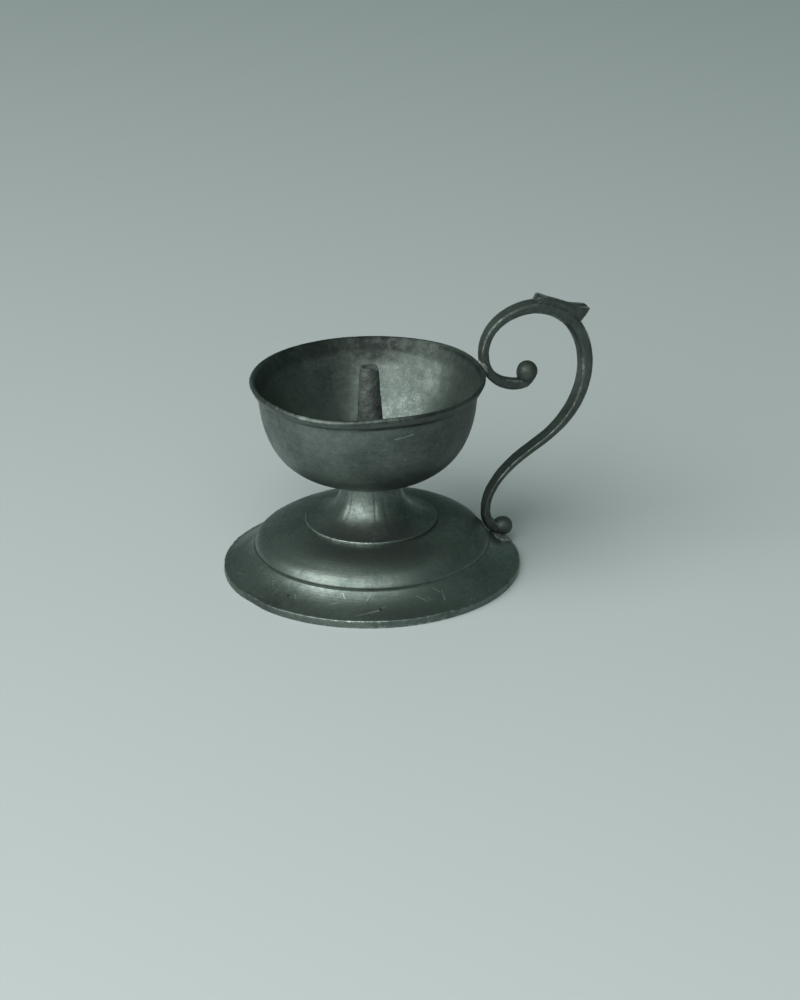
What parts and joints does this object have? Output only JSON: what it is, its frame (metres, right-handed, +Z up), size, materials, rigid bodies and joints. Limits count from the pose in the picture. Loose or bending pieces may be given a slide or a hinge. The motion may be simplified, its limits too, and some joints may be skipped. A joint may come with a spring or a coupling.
{
  "type": "chamberstick with finger loop",
  "caption": "Low pewter candle holder: domed round foot, waisted stem, open drip bowl with an iron pricket, and a scroll handle that makes a finger loop.",
  "frame": {"origin": "on the turning axis of the foot, stem and bowl, in the plane of the ring that the foot stands on", "axes": "+Z up along the turning axis, +X towards the handle, +Y to the left of the handle seen from outside"},
  "size_m": [0.1286, 0.1, 0.0896],
  "materials": {
    "pewter": "aged satin pewter, dark grey with a green cast, worn bright on edges",
    "handle_pewter": "as-cast pewter, darker and duller than the turned pieces",
    "iron": "dark pitted iron",
    "fastener": "dull steel",
    "solder": "pale soft solder"
  },
  "bodies": {
    "root": {"foot": "pewter", "stem": "pewter", "bowl": "pewter", "pricket": "iron", "clamp_washer": "fastener", "clamp_nut": "fastener", "scroll_handle": "handle_pewter", "thumb_rest": "handle_pewter", "upper_scroll_ball": "handle_pewter", "lower_scroll_ball": "handle_pewter", "rim_solder": "solder", "foot_solder": "solder"}
  },
  "joints": []
}
